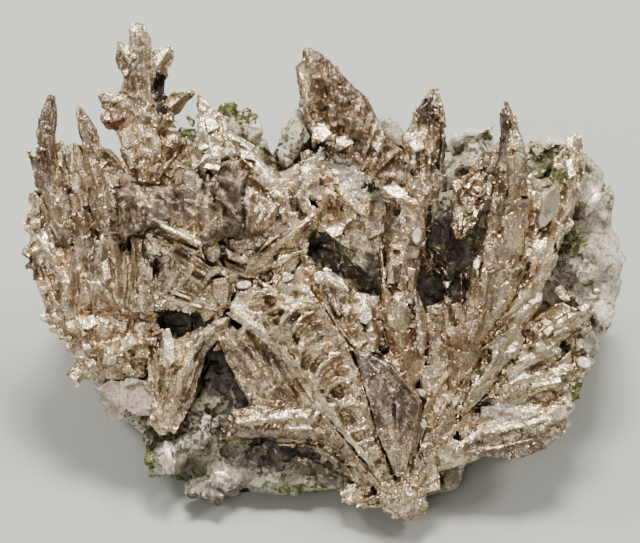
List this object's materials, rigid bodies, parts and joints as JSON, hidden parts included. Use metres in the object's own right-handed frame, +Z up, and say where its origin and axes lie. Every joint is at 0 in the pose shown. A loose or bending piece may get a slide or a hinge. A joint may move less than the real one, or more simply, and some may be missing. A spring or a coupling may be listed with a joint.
{
  "type": "native silver specimen",
  "caption": "Native silver in herringbone leaves, spikes and crusts, grown over a leaning block of calcite that stands on a sawn foot.",
  "frame": {"origin": "middle of the flat sawn foot, on the table", "axes": "+Z up, out of the foot; +X to the right along the specimen's width, seen from the front; -Y towards the front, the way the leaning silver face looks"},
  "size_m": [0.1395, 0.0895, 0.0789],
  "materials": {
    "silver_bright": "crystalline, fine sparkle",
    "silver_brown": "crystalline, lightly tarnished",
    "silver_grey": "crystalline, dark tarnish",
    "calcite": "rough, crystalline"
  },
  "bodies": {
    "root": {"middle_spike": "silver_brown", "tall_spike": "silver_brown", "dark_leaf": "silver_grey", "serrated_leaf": "silver_grey", "centre_frond": "silver_bright", "left_fern": "silver_brown", "block_ridge": "silver_bright", "inner_spike": "silver_brown", "outer_spike": "silver_grey", "upper_leaf": "silver_bright", "broad_blade": "silver_bright", "flow_lobe": "silver_bright", "tongue_blade": "silver_brown", "root_knot": "silver_bright", "lower_band": "silver_bright", "right_fronds": "silver_bright", "centre_plate": "silver_bright", "top_blade": "silver_brown", "left_crust": "silver_bright", "star_fern": "silver_bright", "matrix_rock": "calcite"}
  },
  "joints": []
}
